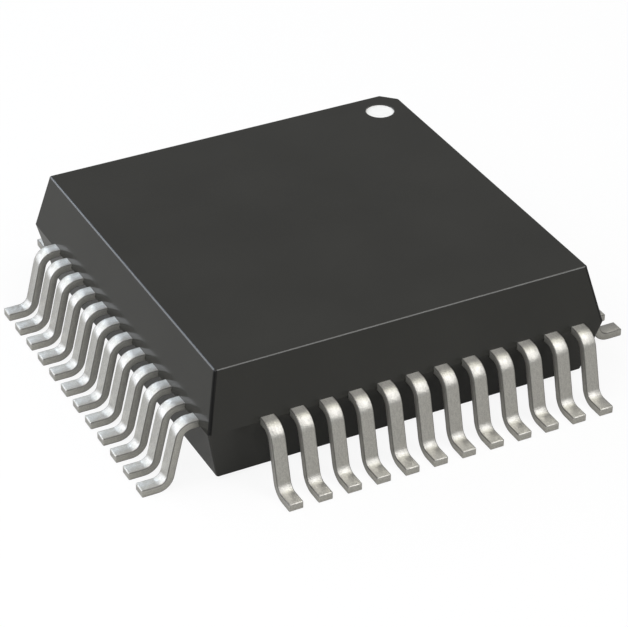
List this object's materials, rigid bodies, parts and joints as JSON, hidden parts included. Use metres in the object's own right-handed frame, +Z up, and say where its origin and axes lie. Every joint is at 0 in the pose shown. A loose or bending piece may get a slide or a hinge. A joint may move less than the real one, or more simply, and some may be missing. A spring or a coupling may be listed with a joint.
{
  "type": "quad flat pack chip",
  "caption": "Square moulded chip package with bent leads on four sides, one chamfered corner and a white index dot.",
  "frame": {"origin": "on the board plane, under the centre of the body", "axes": "+Z up, away from the board; the chamfered index corner is at -X and +Y; leads are numbered anticlockwise from above, down the -X side first"},
  "size_m": [0.0088, 0.0088, 0.0021],
  "materials": {
    "mould_compound": "satin",
    "white_ink": "matte",
    "tinned_lead": "satin",
    "lead_frame_copper": "satin",
    "die_glue": "satin",
    "silicon": "polished",
    "gold": "polished"
  },
  "bodies": {
    "root": {"moulded_body": "mould_compound", "index_dot": "white_ink", "die_pad": "lead_frame_copper", "die_attach": "die_glue", "die": "silicon", "bond_wires": "gold", "lead_01": "tinned_lead", "lead_02": "tinned_lead", "lead_03": "tinned_lead", "lead_04": "tinned_lead", "lead_05": "tinned_lead", "lead_06": "tinned_lead", "lead_07": "tinned_lead", "lead_08": "tinned_lead", "lead_09": "tinned_lead", "lead_10": "tinned_lead", "lead_11": "tinned_lead", "lead_12": "tinned_lead", "lead_13": "tinned_lead", "lead_14": "tinned_lead", "lead_15": "tinned_lead", "lead_16": "tinned_lead", "lead_17": "tinned_lead", "lead_18": "tinned_lead", "lead_19": "tinned_lead", "lead_20": "tinned_lead", "lead_21": "tinned_lead", "lead_22": "tinned_lead", "lead_23": "tinned_lead", "lead_24": "tinned_lead", "lead_25": "tinned_lead", "lead_26": "tinned_lead", "lead_27": "tinned_lead", "lead_28": "tinned_lead", "lead_29": "tinned_lead", "lead_30": "tinned_lead", "lead_31": "tinned_lead", "lead_32": "tinned_lead", "lead_33": "tinned_lead", "lead_34": "tinned_lead", "lead_35": "tinned_lead", "lead_36": "tinned_lead", "lead_37": "tinned_lead", "lead_38": "tinned_lead", "lead_39": "tinned_lead", "lead_40": "tinned_lead", "lead_41": "tinned_lead", "lead_42": "tinned_lead", "lead_43": "tinned_lead", "lead_44": "tinned_lead", "lead_45": "tinned_lead", "lead_46": "tinned_lead", "lead_47": "tinned_lead", "lead_48": "tinned_lead"}
  },
  "joints": []
}
